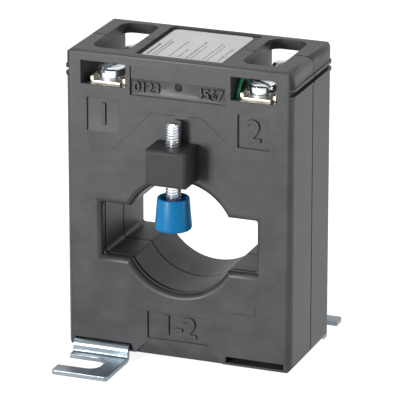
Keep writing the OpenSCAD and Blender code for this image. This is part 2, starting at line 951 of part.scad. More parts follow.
front_shell();
rear_shell();
rating_label();
clamp_block();
clamp_nut();
clamp_screw();
clamp_cap();
terminal_bar(-1);  // terminal_bar_left
terminal_bar(1);  // terminal_bar_right
clamp_plate(-1, -1);  // clamp_plate_left_front
clamp_plate(-1, 1);  // clamp_plate_left_rear
clamp_plate(1, -1);  // clamp_plate_right_front
clamp_plate(1, 1);  // clamp_plate_right_rear
lock_washer(-1, -1);  // lock_washer_left_front
lock_washer(-1, 1);  // lock_washer_left_rear
lock_washer(1, -1);  // lock_washer_right_front
lock_washer(1, 1);  // lock_washer_right_rear
terminal_screw(-1, -1, 105);  // terminal_screw_left_front
terminal_screw(-1, 1, 20);  // terminal_screw_left_rear
terminal_screw(1, -1, 35);  // terminal_screw_right_front
terminal_screw(1, 1, 70);  // terminal_screw_right_rear
mounting_foot_front();
mounting_foot_rear();
ring_core();
core_insulation();
secondary_winding();
winding_tape();
lead_left();
lead_right();
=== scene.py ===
"""Studio scene of a window-type current transformer.

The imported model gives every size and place. Each class below dresses one sub-assembly: it takes the
frame's nodes, gives them their moulded, plated or printed finish, adds what is too fine for the frame,
and lets each piece ride on its body.
"""

from __future__ import annotations

import json
import logging
import math
import random
from dataclasses import dataclass, field
from enum import Enum
from typing import Callable, Iterable, Sequence

import bmesh
import bpy
from mathutils import Matrix, Vector

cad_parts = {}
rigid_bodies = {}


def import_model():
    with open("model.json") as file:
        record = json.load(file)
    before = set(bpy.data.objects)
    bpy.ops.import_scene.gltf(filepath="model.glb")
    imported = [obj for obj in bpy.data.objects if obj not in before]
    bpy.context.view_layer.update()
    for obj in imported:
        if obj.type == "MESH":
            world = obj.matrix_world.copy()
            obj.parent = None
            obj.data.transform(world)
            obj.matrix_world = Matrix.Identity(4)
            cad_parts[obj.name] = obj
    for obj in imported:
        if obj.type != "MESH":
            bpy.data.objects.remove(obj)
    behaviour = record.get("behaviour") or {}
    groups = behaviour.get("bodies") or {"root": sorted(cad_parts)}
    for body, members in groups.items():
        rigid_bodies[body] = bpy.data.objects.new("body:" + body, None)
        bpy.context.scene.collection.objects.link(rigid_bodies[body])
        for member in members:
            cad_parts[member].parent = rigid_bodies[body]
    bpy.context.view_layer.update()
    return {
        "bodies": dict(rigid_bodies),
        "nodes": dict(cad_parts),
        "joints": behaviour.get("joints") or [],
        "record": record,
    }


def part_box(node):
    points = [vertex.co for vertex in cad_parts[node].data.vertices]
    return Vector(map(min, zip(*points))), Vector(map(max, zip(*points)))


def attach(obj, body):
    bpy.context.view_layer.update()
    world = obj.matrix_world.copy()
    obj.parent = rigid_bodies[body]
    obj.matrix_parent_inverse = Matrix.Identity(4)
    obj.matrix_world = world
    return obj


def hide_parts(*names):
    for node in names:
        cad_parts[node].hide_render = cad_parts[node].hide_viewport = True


log = logging.getLogger("current_transformer")

MM = 0.001
Colour = tuple[float, float, float]
Socket = bpy.types.NodeSocket


# --------------------------------------------------------------------------- shader building


class Kind(Enum):
    """Kinds of socket that an effect group can have."""

    NUMBER = "NodeSocketFloat"
    COLOUR = "NodeSocketColor"
    VECTOR = "NodeSocketVector"


class Graph:
    """Small helper that adds nodes to one node tree and links them."""

    def __init__(self, tree: bpy.types.NodeTree) -> None:
        """Keeps the tree that the nodes go into.

        Args:
            tree: node tree of a material, a world or a group.
        """
        self.tree = tree

    def node(self, kind: str, **settings: object) -> bpy.types.Node:
        """Adds a node and sets its properties.

        Args:
            kind: Blender's node type, such as ShaderNodeTexNoise.
            settings: properties of the node by name.

        Returns:
            The new node.
        """
        made = self.tree.nodes.new(kind)
        for name, value in settings.items():
            setattr(made, name, value)
        return made

    def feed(self, socket: Socket, value: object) -> None:
        """Links a socket into an input, or sets the input's own value.

        Args:
            socket: the input.
            value: an output socket, a number, a colour or a vector.
        """
        if isinstance(value, bpy.types.NodeSocket):
            self.tree.links.new(value, socket)
        elif isinstance(value, tuple) and len(value) == 3 and socket.type == "RGBA":
            socket.default_value = (*value, 1.0)
        else:
            socket.default_value = value

    def math(self, operation: str, first: object, second: object = 0.0) -> Socket:
        """Adds a Math node.

        Args:
            operation: the node's operation, such as MULTIPLY.
            first: first operand.
            second: second operand.

        Returns:
            The result.
        """
        made = self.node("ShaderNodeMath", operation=operation)
        self.feed(made.inputs[0], first)
        self.feed(made.inputs[1], second)
        return made.outputs[0]

    def noise(self, vector: object, scale: object, detail: float = 2.0, roughness: float = 0.5) -> Socket:
        """Adds a noise texture.

        Args:
            vector: coordinates.
            scale: size of the noise, higher is finer.
            detail: number of octaves.
            roughness: weight of the finer octaves.

        Returns:
            The noise as a number from 0 to 1.
        """
        made = self.node("ShaderNodeTexNoise")
        self.feed(made.inputs["Vector"], vector)
        self.feed(made.inputs["Scale"], scale)
        self.feed(made.inputs["Detail"], detail)
        self.feed(made.inputs["Roughness"], roughness)
        return made.outputs["Fac"]

    def spread(self, value: object, low: float, high: float, out_low: float = 0.0,
               out_high: float = 1.0) -> Socket:
        """Maps a range of numbers onto another and clamps it.

        Args:
            value: the number.
            low: start of the incoming range.
            high: end of the incoming range.
            out_low: what low becomes.
            out_high: what high becomes.

        Returns:
            The mapped number.
        """
        made = self.node("ShaderNodeMapRange", clamp=True)
        for index, item in enumerate((value, low, high, out_low, out_high)):
            self.feed(made.inputs[index], item)
        return made.outputs[0]

    def stretch(self, vector: object, scale: tuple[float, float, float]) -> Socket:
        """Scales coordinates along each axis.

        Args:
            vector: coordinates.
            scale: factor along X, Y and Z.

        Returns:
            The scaled coordinates.
        """
        made = self.node("ShaderNodeMapping")
        self.feed(made.inputs["Vector"], vector)
        made.inputs["Scale"].default_value = scale
        return made.outputs[0]

    def blend(self, factor: object, first: object, second: object, mode: str = "MIX") -> Socket:
        """Blends two colours.

        Args:
            factor: share of the second colour.
            first: first colour.
            second: second colour.
            mode: blend mode.

        Returns:
            The blended colour.
        """
        made = self.node("ShaderNodeMix", data_type="RGBA", blend_type=mode, clamp_factor=True)
        self.feed(made.inputs[0], factor)
        self.feed(made.inputs[6], first)
        self.feed(made.inputs[7], second)
        return made.outputs[2]


@dataclass(frozen=True)
class Effect:
    """A shader node group with named inputs and outputs, built once.

    Attributes:
        name: name of the group.
        inputs: kind and first value of each input.
        outputs: kind of each output.
        wire: builds the inside from the graph and the input sockets and returns the outputs.
    """

    name: str
    inputs: dict[str, tuple[Kind, object]]
    outputs: dict[str, Kind]
    wire: Callable[[Graph, dict[str, Socket]], dict[str, Socket]]

    def group(self) -> bpy.types.NodeTree:
        """Gives the node group, building it the first time."""
        made = bpy.data.node_groups.get(self.name)
        return made if made else self._build()

    def _build(self) -> bpy.types.NodeTree:
        """Builds the node group and wires its inside."""
        tree = bpy.data.node_groups.new(self.name, "ShaderNodeTree")
        for name, (kind, value) in self.inputs.items():
            socket = tree.interface.new_socket(name, in_out="INPUT", socket_type=kind.value)
            if value is not None:
                socket.default_value = (*value, 1.0) if kind is Kind.COLOUR else value
        for name, kind in self.outputs.items():
            tree.interface.new_socket(name, in_out="OUTPUT", socket_type=kind.value)
        graph = Graph(tree)
        entry = graph.node("NodeGroupInput")
        leave = graph.node("NodeGroupOutput")
        results = self.wire(graph, {name: entry.outputs[name] for name in self.inputs})
        for name, socket in results.items():
            graph.feed(leave.inputs[name], socket)
        return tree

    def place(self, graph: Graph, **values: object) -> dict[str, Socket]:
        """Puts the group into a material.

        Args:
            graph: the material's graph.
            values: values or sockets for the inputs, spaces written as underscores.

        Returns:
            The group's outputs by name.
        """
        made = graph.node("ShaderNodeGroup")
        made.node_tree = self.group()
        for name, value in values.items():
            graph.feed(made.inputs[name.replace("_", " ")], value)
        return {name: made.outputs[name] for name in self.outputs}


def wire_flow(graph: Graph, given: dict[str, Socket]) -> dict[str, Socket]:
    """Clouds and flow lines of filled, moulded plastic.

    Args:
        graph: the group's graph.
        given: the group's inputs.

    Returns:
        Colour, roughness shift and surface height.
    """
    vector = given["Vector"]
    warp = graph.node("ShaderNodeTexNoise")
    graph.feed(warp.inputs["Vector"], vector)
    graph.feed(warp.inputs["Scale"], 60.0)
    graph.feed(warp.inputs["Detail"], 2.0)
    bent = graph.node("ShaderNodeVectorMath", operation="MULTIPLY_ADD")
    graph.feed(bent.inputs[0], warp.outputs["Color"])
    graph.feed(bent.inputs[1], (0.012, 0.012, 0.012))
    graph.feed(bent.inputs[2], vector)
    clouds = graph.noise(bent.outputs[0], given["Cloud Scale"], 5.0, 0.62)
    broad = graph.noise(vector, 28.0, 3.0, 0.55)
    streaks = graph.noise(graph.stretch(bent.outputs[0], (0.35, 1.0, 1.6)), 260.0, 3.0, 0.6)
    mixed = graph.math("ADD", graph.math("MULTIPLY", clouds, 0.5), graph.math("MULTIPLY", broad, 0.3))
    mixed = graph.math("ADD", mixed, graph.math("MULTIPLY", streaks, 0.2))
    tone = graph.spread(mixed, 0.36, 0.64)
    depth = given["Cloud Depth"]
    low = graph.math("SUBTRACT", 1.0, depth)
    high = graph.math("ADD", 1.0, depth)
    gain = graph.math("ADD", low, graph.math("MULTIPLY", tone, graph.math("SUBTRACT", high, low)))
    scaled = graph.node("ShaderNodeVectorMath", operation="SCALE")
    graph.feed(scaled.inputs[0], given["Base"])
    graph.feed(scaled.inputs["Scale"], gain)
    grain = graph.noise(vector, given["Grain Scale"], 2.0, 0.6)
    height = graph.math("ADD", graph.math("MULTIPLY", grain, 0.6), graph.math("MULTIPLY", streaks, 0.8))
    rough = graph.math("SUBTRACT", graph.math("MULTIPLY", tone, 0.12), 0.06)
    return {"Colour": scaled.outputs[0], "Rough Shift": rough, "Height": height}


def wire_plating(graph: Graph, given: dict[str, Socket]) -> dict[str, Socket]:
    """Streaks, blotches and a faint tint of plated sheet metal.

    Args:
        graph: the group's graph.
        given: the group's inputs.

    Returns:
        Colour, roughness and surface height.
    """
    vector = given["Vector"]
    blotch = graph.spread(graph.noise(vector, given["Blotch Scale"], 4.0, 0.55), 0.35, 0.65)
    fine = graph.noise(graph.stretch(vector, (0.12, 1.0, 1.0)), given["Streak Scale"], 3.0, 0.6)
    streak = graph.spread(fine, 0.3, 0.7)
    colour = graph.blend(graph.math("MULTIPLY", blotch, given["Tint"]), given["Base"], given["Shade"])
    shift = graph.math("ADD", graph.math("MULTIPLY", streak, 0.10), graph.math("MULTIPLY", blotch, 0.10))
    rough = graph.math("ADD", given["Roughness"], graph.math("SUBTRACT", shift, 0.10))
    height = graph.math("ADD", graph.math("MULTIPLY", streak, 0.7), graph.math("MULTIPLY", blotch, 0.3))
    return {"Colour": colour, "Roughness": rough, "Height": height}


def wire_painted_edge_shade(graph: Graph, given: dict[str, Socket]) -> dict[str, Socket]:
    """Mask of sharp edges and inner corners, where the finish paints shade in place of the dark reflections
    and shadow that fall there.

    Args:
        graph: the group's graph.
        given: the group's inputs.

    Returns:
        The mask, 1 on an edge.
    """
    # The softened normal parts from the plain normal on sharp edges and in inner corners; the mask marks them
    # for painted shade.
    soft = graph.node("ShaderNodeBevel", samples=8)
    graph.feed(soft.inputs["Radius"], given["Radius"])
    plain = graph.node("ShaderNodeNewGeometry").outputs["Normal"]
    agree = graph.node("ShaderNodeVectorMath", operation="DOT_PRODUCT")
    graph.feed(agree.inputs[0], soft.outputs[0])
    graph.feed(agree.inputs[1], plain)
    return {"Mask": graph.spread(agree.outputs["Value"], 0.985, 0.80)}


FLOW = Effect(
    "moulded_flow",
    {
        "Vector": (Kind.VECTOR, None),
        "Base": (Kind.COLOUR, (0.1, 0.1, 0.1)),
        "Cloud Scale": (Kind.NUMBER, 150.0),
        "Cloud Depth": (Kind.NUMBER, 0.2),
        "Grain Scale": (Kind.NUMBER, 2200.0),
    },
    {"Colour": Kind.COLOUR, "Rough Shift": Kind.NUMBER, "Height": Kind.NUMBER},
    wire_flow,
)
# Node group that marks where shade is painted along sharp edges and in inner corners.
PAINTED_EDGE_SHADE = Effect(
    "painted_edge_shade",
    {"Radius": (Kind.NUMBER, 0.0003)},
    {"Mask": Kind.NUMBER},
    wire_painted_edge_shade,
)
PLATING = Effect(
    "plated_sheet",
    {
        "Vector": (Kind.VECTOR, None),
        "Base": (Kind.COLOUR, (0.7, 0.7, 0.7)),
        "Shade": (Kind.COLOUR, (0.5, 0.5, 0.5)),
        "Tint": (Kind.NUMBER, 0.5),
        "Roughness": (Kind.NUMBER, 0.3),
        "Blotch Scale": (Kind.NUMBER, 300.0),
        "Streak Scale": (Kind.NUMBER, 2500.0),
    },
    {"Colour": Kind.COLOUR, "Roughness": Kind.NUMBER, "Height": Kind.NUMBER},
    wire_plating,
)


# --------------------------------------------------------------------------- finishes


@dataclass(frozen=True)
class Finish:
    """Common part of every finish: a named material with one Principled shader.

    Attributes:
        name: name of the material.
        slot: material slot of the record that the finish belongs to; not used.
    """

    name: str
    slot: str

    def material(self) -> bpy.types.Material:
        """Gives the material, building it the first time."""
        made = bpy.data.materials.get(self.name)
        if made:
            return made
        made = bpy.data.materials.new(self.name)
        made.use_nodes = True
        made.node_tree.nodes.clear()
        graph = Graph(made.node_tree)
        shader = graph.node("ShaderNodeBsdfPrincipled")
        output = graph.node("ShaderNodeOutputMaterial")
        graph.feed(output.inputs["Surface"], shader.outputs[0])
        coordinates = graph.node("ShaderNodeTexCoord").outputs["Object"]
        self.dress(graph, shader, coordinates)
        return made

    def dress(self, graph: Graph, shader: bpy.types.Node, vector: Socket) -> None:
        """Wires the finish into the shader.

        Args:
            graph: the material's graph.
            shader: the Principled shader.
            vector: object coordinates.
        """
        raise NotImplementedError

    @staticmethod
    def bump(graph: Graph, shader: bpy.types.Node, height: Socket, distance: float, strength: float,
             edge: float = 0.0) -> None:
        """Feeds a height into the shader's normal, over softened edges where asked.

        Args:
            graph: the material's graph.
            shader: the Principled shader.
            height: surface height from 0 to 1.
            distance: full height in metres.
            strength: share of the effect.
            edge: radius in metres to which sharp edges are softened, 0 for none.
        """
        made = graph.node("ShaderNodeBump")
        graph.feed(made.inputs["Strength"], strength)
        graph.feed(made.inputs["Distance"], distance)
        graph.feed(made.inputs["Height"], height)
        if edge > 0.0:
            soft = graph.node("ShaderNodeBevel", samples=6)
            graph.feed(soft.inputs["Radius"], edge)
            graph.feed(made.inputs["Normal"], soft.outputs[0])
        graph.feed(shader.inputs["Normal"], made.outputs[0])


@dataclass(frozen=True)
class MouldedPlastic(Finish):
    """Filled, moulded plastic with clouds, flow lines and a fine grain."""

    base: Colour
    roughness: float
    cloud_scale: float = 150.0
    cloud_depth: float = 0.2
    grain: float = 0.00004
    specular: float = 0.5
    edge: float = 0.0
    # The next two fields set the painted shade along sharp edges and in inner corners: the mask's radius, 0
    # for none, and the share of the base colour left there.
    edge_shade_radius: float = 0.0
    edge_shade_share: float = 0.35

    def dress(self, graph: Graph, shader: bpy.types.Node, vector: Socket) -> None:
        """Wires clouds, grain, softened edges and the painted shade along sharp edges and in inner corners.
        """
        flow = FLOW.place(graph, Vector=vector, Base=self.base, Cloud_Scale=self.cloud_scale,
                          Cloud_Depth=self.cloud_depth)
        colour = flow["Colour"]
        # Painted shade: sharp edges and inner corners get a darker copy of the base colour, in place of the
        # dark reflections and shadow there.
        if self.edge_shade_radius > 0.0:
            mask = PAINTED_EDGE_SHADE.place(graph, Radius=self.edge_shade_radius)["Mask"]
            dark = tuple(channel * self.edge_shade_share for channel in self.base)
            colour = graph.blend(mask, colour, dark)
        graph.feed(shader.inputs["Base Color"], colour)
        graph.feed(shader.inputs["Roughness"], graph.math("ADD", flow["Rough Shift"], self.roughness))
        graph.feed(shader.inputs["Specular IOR Level"], self.specular)
        self.bump(graph, shader, flow["Height"], self.grain, 0.5, self.edge)


@dataclass(frozen=True)
class PlatedMetal(Finish):
    """Zinc, nickel or plain metal with streaks and blotches."""

    base: Colour
    shade: Colour
    roughness: float
    tint: float = 0.5
    blotch_scale: float = 300.0
    streak_scale: float = 2500.0
    relief: float = 0.000008
    metallic: float = 1.0
    edge: float = 0.0

    def dress(self, graph: Graph, shader: bpy.types.Node, vector: Socket) -> None:
        """Wires streaks, tint and relief."""
        plating = PLATING.place(graph, Vector=vector, Base=self.base, Shade=self.shade, Tint=self.tint,
                                Roughness=self.roughness, Blotch_Scale=self.blotch_scale,
                                Streak_Scale=self.streak_scale)
        graph.feed(shader.inputs["Base Color"], plating["Colour"])
        graph.feed(shader.inputs["Roughness"], plating["Roughness"])
        graph.feed(shader.inputs["Metallic"], self.metallic)
        self.bump(graph, shader, plating["Height"], self.relief, 0.4, self.edge)


@dataclass(frozen=True)
class Film(Finish):
    """Printed or plain film with a faint unevenness."""

    base: Colour
    roughness: float

    def dress(self, graph: Graph, shader: bpy.types.Node, vector: Socket) -> None:
        """Wires a slight tone change and a soft waviness."""
        waves = graph.noise(vector, 180.0, 2.0, 0.4)
        darker = tuple(channel * 0.94 for channel in self.base)
        graph.feed(shader.inputs["Base Color"], graph.blend(graph.spread(waves, 0.3, 0.7), self.base, darker))
        rough = graph.spread(waves, 0.3, 0.7, self.roughness, self.roughness + 0.08)
        graph.feed(shader.inputs["Roughness"], rough)
        self.bump(graph, shader, waves, 0.00003, 0.3)


@dataclass(frozen=True)
class WoundWire(Finish):
    """Fine wire or strip wound side by side."""

    base: Colour
    painted_groove_shade: Colour
    turns_per_metre: float
    roughness: float
    metallic: float

    def dress(self, graph: Graph, shader: bpy.types.Node, vector: Socket) -> None:
        """Wires fine parallel turns across the ring, with painted shade in the grooves between them."""
        wave = graph.node("ShaderNodeTexWave", bands_direction="Y")
        graph.feed(wave.inputs["Vector"], vector)
        graph.feed(wave.inputs["Scale"], self.turns_per_metre / 20.0)
        graph.feed(wave.inputs["Distortion"], 0.6)
        turn = wave.outputs["Fac"]
        # Painted shade: the grooves between the turns take the darker colour.
        graph.feed(shader.inputs["Base Color"], graph.blend(turn, self.painted_groove_shade, self.base))
        rough = graph.spread(turn, 0.0, 1.0, self.roughness + 0.1, self.roughness)
        graph.feed(shader.inputs["Roughness"], rough)
        graph.feed(shader.inputs["Metallic"], self.metallic)
        self.bump(graph, shader, turn, 0.00005, 0.6)


# The housing and cap finishes below paint shade along sharp edges and in inner corners.
HOUSING = MouldedPlastic("housing_moulding", "housing_plastic", (0.036, 0.036, 0.0385), 0.44, specular=0.34,
                         cloud_depth=0.38, edge=0.00015, edge_shade_radius=0.0003)
BLOCK = MouldedPlastic("block_moulding", "block_plastic", (0.027, 0.027, 0.028), 0.52, specular=0.22,
                       cloud_depth=0.08, edge=0.0003)
PLUG = MouldedPlastic("plug_moulding", "housing_plastic", (0.012, 0.012, 0.013), 0.6, specular=0.2)
CAP = MouldedPlastic("cap_moulding", "cap_plastic", (0.0, 0.15, 0.36), 0.42, specular=0.22,
                     cloud_depth=0.05, grain=0.00002, edge_shade_radius=0.0003, edge_shade_share=0.55)
LABEL = Film("label_film_finish", "label_film", (0.76, 0.76, 0.76), 0.42)
PRINT = Film("label_print", "label_film", (0.2, 0.2, 0.205), 0.5)
THREAD = PlatedMetal("thread_zinc", "zinc_thread", (0.83, 0.85, 0.87), (0.62, 0.66, 0.72), 0.22)
SCREW = PlatedMetal("screw_zinc_finish", "screw_zinc", (0.80, 0.85, 0.88), (0.62, 0.69, 0.73), 0.2)
PLATE = PlatedMetal("plate_nickel_finish", "plate_nickel", (0.88, 0.80, 0.69), (0.76, 0.66, 0.53), 0.32)
WASHER = PlatedMetal("washer_zinc", "washer_steel", (0.5, 0.52, 0.54), (0.36, 0.38, 0.41), 0.36)
BRASS = PlatedMetal("bar_brass_finish", "bar_brass", (0.78, 0.62, 0.34), (0.6, 0.44, 0.2), 0.34)
SHEET = PlatedMetal("foot_zinc_finish", "foot_zinc", (0.22, 0.255, 0.28), (0.16, 0.19, 0.215), 0.34, tint=0.6)
STRIP = WoundWire("core_strip", "core_steel", (0.34, 0.35, 0.37), (0.12, 0.12, 0.13), 3000.0, 0.4, 1.0)
COPPER = WoundWire("winding_enamel", "winding_copper", (0.62, 0.27, 0.12), (0.2, 0.07, 0.03), 2500.0,
                   0.3, 0.6)
INSULATION = Film("insulation_finish", "insulation_film", (0.72, 0.66, 0.5), 0.4)
TAPE = Film("tape_finish", "tape", (0.78, 0.66, 0.26), 0.35)
SLEEVE = MouldedPlastic("lead_sleeve", "lead_green", (0.03, 0.36, 0.17), 0.35, cloud_depth=0.1, grain=0.00001)


# --------------------------------------------------------------------------- pieces


def make_piece(name: str, mesh: bmesh.types.BMesh, finish: Finish, body: str,
               stands_for: Sequence[str] = (), smooth_angle: float = 35.0) -> bpy.types.Object:
    """Turns a bmesh into a finished piece that rides on a body.

    Args:
        name: name of the piece.
        mesh: its shape, in metres and in place; it is freed.
        finish: its finish.
        body: the body that it moves with.
        stands_for: frame nodes that it replaces.
        smooth_angle: edges sharper than this stay sharp, in degrees.

    Returns:
        The new object.
    """
    data = bpy.data.meshes.new(name)
    mesh.to_mesh(data)
    mesh.free()
    data.shade_smooth()
    data.set_sharp_from_angle(angle=math.radians(smooth_angle))
    data.materials.append(finish.material())
    made = bpy.data.objects.new(name, data)
    bpy.context.scene.collection.objects.link(made)
    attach(made, body)
    if stands_for:
        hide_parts(*stands_for)
    log.info("%s: %d faces, rides on %s", name, len(data.polygons), body)
    return made


def merged_copy(node: bpy.types.Object) -> bmesh.types.BMesh:
    """Copies a frame node's mesh with its triangles merged into whole faces.

    Args:
        node: the frame node.

    Returns:
        The merged copy.
    """
    copy = bmesh.new()
    copy.from_mesh(node.data)
    bmesh.ops.remove_doubles(copy, verts=copy.verts, dist=0.001 * MM)
    bmesh.ops.dissolve_limit(copy, angle_limit=math.radians(0.3), verts=copy.verts, edges=copy.edges)
    return copy


@dataclass
class Assembly:
    """Part of the object that is dressed together.

    Attributes:
    """

    frame: dict

    def node(self, name: str) -> bpy.types.Object:
        """Gives a frame node by its name."""
        return self.frame["nodes"][name]

    def body_of(self, node: str) -> str:
        """Gives the name of the body that a frame node belongs to."""
        bodies = self.frame["record"]["behaviour"]["bodies"]
        return next(body for body, members in bodies.items() if node in members)

    def refine(self, node: str, word: str, finish: Finish, bevel: float = 0.0,
               segments: int = 2) -> bpy.types.Object:
        """Replaces a frame node with a merged and finished copy of itself.

        Args:
            node: the frame node.
            word: last word of the piece's name.
            finish: its finish.
            bevel: width of the bevel on its sharp edges, in metres, 0 for none.
            segments: number of steps in that bevel.

        Returns:
            The new piece.
        """
        piece = make_piece(f"{node}_{word}", merged_copy(self.node(node)), finish, self.body_of(node), [node])
        if bevel > 0.0:
            rounding = piece.modifiers.new("edges", "BEVEL")
            rounding.width = bevel
            rounding.segments = segments
            rounding.limit_method = "ANGLE"
            rounding.angle_limit = math.radians(40.0)
            rounding.use_clamp_overlap = True
        level = piece.modifiers.new("flat_faces", "WEIGHTED_NORMAL")
        level.keep_sharp = True
        level.weight = 50
        return piece


@dataclass
class Housing(Assembly):
    """Front and rear shell with the raised marks on the front face."""

    field_depth: float = 0.55 * MM
    numeral_relief: float = 0.5 * MM
    numeral_weight: float = 0.1 * MM
    field_numeral: float = 5.6 * MM
    lower_numeral: float = 5.2 * MM
    strip_numeral: float = 2.5 * MM
    terminal_mark_drop: float = 16.3 * MM
    lower_mark_rise: float = 8.3 * MM
    strip_mark_shift: float = 8.3 * MM
    strip_drop: float = 8.1 * MM
    plug_radius: float = 0.95 * MM
    line_width: float = 0.16 * MM
    line_relief: float = 0.05 * MM

    def build(self) -> None:
        """Builds both shells, the marks, the plug and the lines left by the mould's insert."""
        for node in ("front_shell", "rear_shell"):
            self.refine(node, "moulding", HOUSING)
        self.marks()
        self.plug()
        self.insert_lines()

    def marks(self) -> None:
        """Builds the raised numerals in the mark fields."""
        low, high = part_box("front_shell")
        floor = low.y + self.field_depth
        plates = [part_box(f"clamp_plate_{side}_front") for side in ("left", "right")]
        for text, (near, far) in zip(("1", "2"), plates):
            middle = (near.x + far.x) / 2
            spot = Vector((middle, floor, high.z - self.terminal_mark_drop))
            self.numeral(f"terminal_mark_{text}", text, spot, self.field_numeral)
        spot = Vector((0.0, floor, low.z + self.lower_mark_rise))
        self.numeral("lower_field_mark", "1-2", spot, self.lower_numeral)
        for side, text in ((-1, "0123"), (1, "4567")):
            middle = Vector((side * self.strip_mark_shift, floor, high.z - self.strip_drop))
            self.numeral(f"strip_mark_{text}", text, middle, self.strip_numeral)

    def plug(self) -> None:
        """Builds the small round plug in the strip between the numerals."""
        low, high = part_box("front_shell")
        face = low.y + self.field_depth
        outline = [(0.0, 0.0), (self.plug_radius, 0.0), (self.plug_radius, 0.12 * MM)]
        outline += [(self.plug_radius - 0.3 * MM, 0.26 * MM), (0.0, 0.3 * MM)]
        shape = turned(outline, Vector((0.0, 0.0, 0.0)), 32)
        spot = Matrix.Translation((0.0, face + 0.25 * MM, high.z - 7.2 * MM))
        place = spot @ Matrix.Rotation(math.radians(90.0), 4, "X")
        bmesh.ops.transform(shape, matrix=place, verts=shape.verts)
        make_piece("strip_plug", shape, PLUG, "housing")

    def insert_lines(self) -> None:
        """Builds the faint raised lines on the front face round the clamp and at the lower right."""
        low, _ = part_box("front_shell")
        face = low.y
        shape = bmesh.new()
        routes = (
            ((-17.3, 55.7), (-7.3, 66.1), (5.9, 66.4), (8.0, 64.9), (12.5, 61.1)),
            ((13.5, 16.4), (20.5, 16.4), (20.5, 19.0)),
        )
        for route in routes:
            for start, end in zip(route, route[1:]):
                near = Vector((start[0] * MM, face, start[1] * MM))
                far = Vector((end[0] * MM, face, end[1] * MM))
                self.ridge(shape, near, far)
        make_piece("insert_lines", shape, HOUSING, "housing")

    def ridge(self, shape: bmesh.types.BMesh, start: Vector, end: Vector) -> None:
        """Adds one low ridge between two points on the front face.

        Args:
            shape: mesh that takes the ridge.
            start: one end.
            end: the other end.
        """
        run = end - start
        turn = Matrix.Rotation(-math.atan2(run.z, run.x), 4, "Y")
        size = Matrix.Diagonal((run.length + self.line_width, self.line_relief, self.line_width, 1.0))
        bmesh.ops.create_cube(shape, size=1.0, matrix=Matrix.Translation((start + end) / 2) @ turn @ size)

    def numeral(self, name: str, text: str, centre: Vector, height: float) -> None:
        """Builds one raised mark that faces the front.

        Args:
            name: name of the piece.
            text: plain digits.
            centre: middle of the mark on the floor of its field.
            height: height of a digit.
        """
        curve = bpy.data.curves.new(name, "FONT")
        curve.body = text
        curve.size = height / 0.7
        curve.align_x = "CENTER"
        curve.align_y = "CENTER"
        curve.extrude = self.numeral_relief
        curve.offset = self.numeral_weight
        holder = bpy.data.objects.new(name, curve)
        bpy.context.scene.collection.objects.link(holder)
        bpy.context.view_layer.update()
        mesh = bpy.data.meshes.new_from_object(holder.evaluated_get(bpy.context.evaluated_depsgraph_get()))
        bpy.data.objects.remove(holder)
        shape = bmesh.new()
        shape.from_mesh(mesh)
        turn = Matrix.Rotation(math.radians(90.0), 4, "X")
        bmesh.ops.transform(shape, matrix=Matrix.Translation(centre) @ turn, verts=shape.verts)
        bmesh.ops.remove_doubles(shape, verts=shape.verts, dist=0.005 * MM)
        make_piece(name, shape, HOUSING, "housing")


@dataclass
class RatingLabel(Assembly):
    """White film on the top with rows of plain grey bars.

    Attributes:
        rows: place across, thickness, start and end along the depth of each row, as shares of the label.
        bar_height: height of the print over the film.
        seed: seed of the bars' uneven lengths.
    """

    rows: tuple[tuple[float, float, float, float], ...] = (
        (0.055, 0.034, 0.05, 0.46),
        (0.12, 0.016, 0.05, 0.62),
        (0.165, 0.016, 0.05, 0.56),
        (0.33, 0.014, 0.06, 0.60),
        (0.44, 0.014, 0.06, 0.34),
        (0.545, 0.018, 0.05, 0.66),
        (0.60, 0.012, 0.05, 0.52),
        (0.745, 0.012, 0.05, 0.64),
        (0.80, 0.012, 0.05, 0.58),
        (0.93, 0.014, 0.06, 0.50),
    )
    bar_height: float = 0.05 * MM
    seed: int = 7

    def build(self) -> None:
        """Builds the film and its print."""
        self.refine("rating_label", "film", LABEL)
        self.print_rows()

    def print_rows(self) -> None:
        """Builds rows of bars that run along the depth, in words of uneven length."""
        low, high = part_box("rating_label")
        size = high - low
        pick = random.Random(self.seed)
        shape = bmesh.new()
        for across, thick, start, end in self.rows:
            along = low.y + start * size.y
            stop = low.y + end * size.y
            while along < stop:
                length = min(pick.uniform(0.5, 2.4) * MM, stop - along + 0.3 * MM)
                self.bar(shape, low.x + across * size.x, along, thick * size.x, length, high.z)
                along += length + pick.uniform(0.25, 0.5) * MM
        make_piece("label_print_bars", shape, PRINT, "housing")

    def bar(self, shape: bmesh.types.BMesh, across: float, along: float, thick: float, length: float,
            top: float) -> None:
        """Adds one flat bar of print.

        Args:
            shape: mesh that takes the bar.
            across: place across the label.
            along: start along the label.
            thick: width of the bar.
            length: length of the bar.
            top: height of the film's face.
        """
        middle = Vector((across, along + length / 2, top))
        size = Matrix.Diagonal((thick, length, self.bar_height, 1.0))
        bmesh.ops.create_cube(shape, size=1.0, matrix=Matrix.Translation(middle) @ size)


